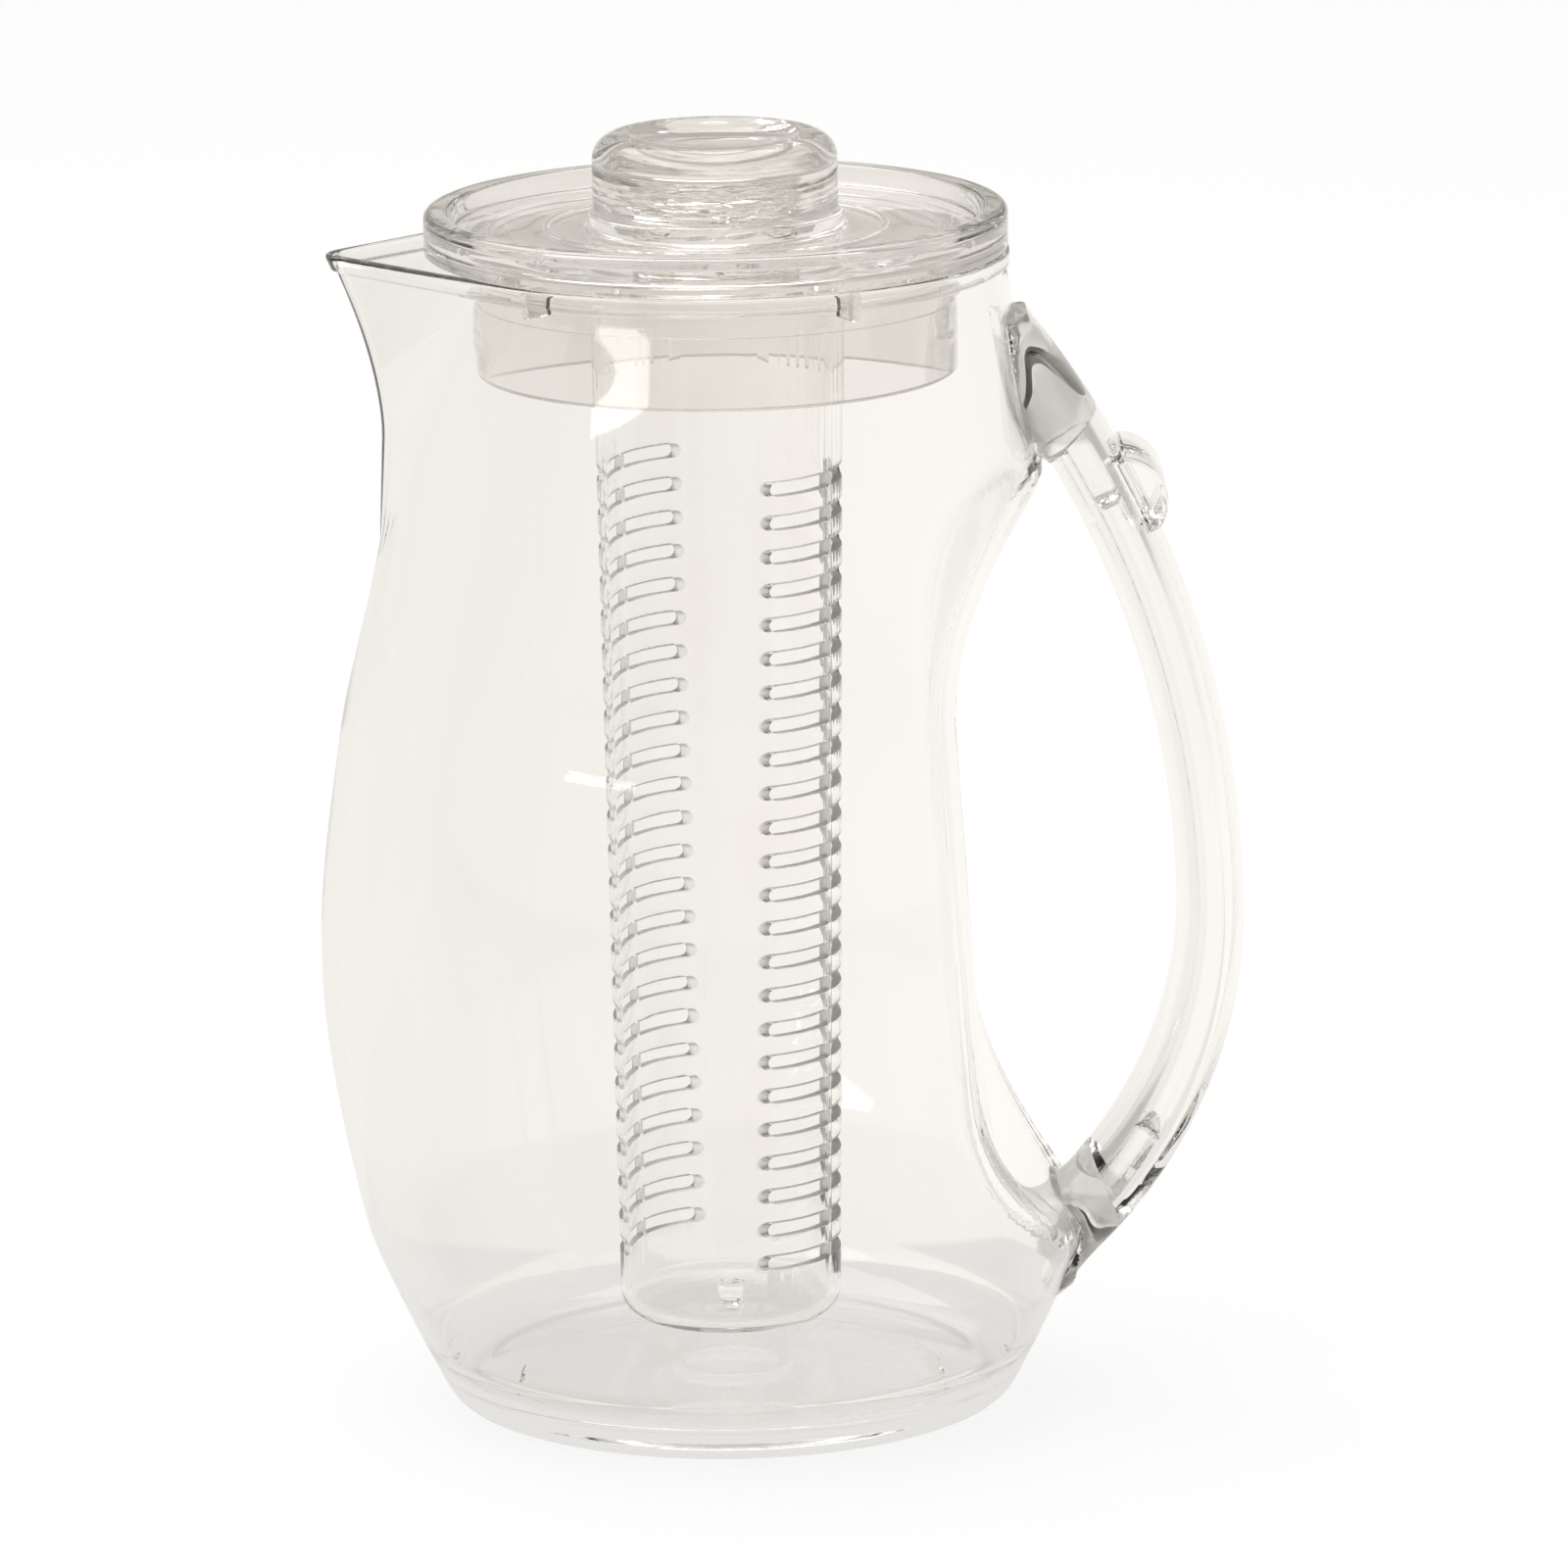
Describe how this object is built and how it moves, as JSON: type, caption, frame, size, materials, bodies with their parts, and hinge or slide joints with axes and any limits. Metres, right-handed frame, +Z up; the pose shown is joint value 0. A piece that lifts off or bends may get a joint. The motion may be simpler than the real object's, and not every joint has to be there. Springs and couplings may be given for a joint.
{
  "type": "fruit infuser pitcher",
  "caption": "Clear pear-shaped pitcher with a V spout, hand recess and curved handle, and a lift-off lid from which a slotted infuser tube hangs by a screwed knob.",
  "frame": {"origin": "on the pitcher's axis, on the face it stands on", "axes": "+Z up along the pitcher's axis, -X towards the spout, +X towards the handle"},
  "size_m": [0.187, 0.164, 0.26],
  "materials": {
    "clear_body": "clear acrylic",
    "clear_handle": "clear acrylic",
    "clear_lid": "clear acrylic",
    "clear_knob": "clear acrylic",
    "clear_tube": "clear acrylic"
  },
  "bodies": {
    "pitcher": {"pitcher_body": "clear_body", "handle": "clear_handle"},
    "lid": {"lid": "clear_lid"},
    "knob": {"knob": "clear_knob"},
    "infuser": {"infuser_tube": "clear_tube"}
  },
  "joints": [
    {"name": "lid_lift", "type": "slide", "parent": "pitcher", "child": "lid", "axis": [0, 0, 1], "range_m": [0, 0.24]},
    {"name": "knob_turn", "type": "hinge", "parent": "lid", "child": "knob", "pos_m": [0, 0, 0.25], "axis": [0, 0, 1], "range_deg": [0, 720]},
    {"name": "infuser_drop", "type": "slide", "parent": "lid", "child": "infuser", "axis": [0, 0, -1], "range_m": [0, 0.006]}
  ],
  "couplings": [
    {"joint": "infuser_drop", "follows": "knob_turn", "m_per_rad": 0.00047746}
  ]
}
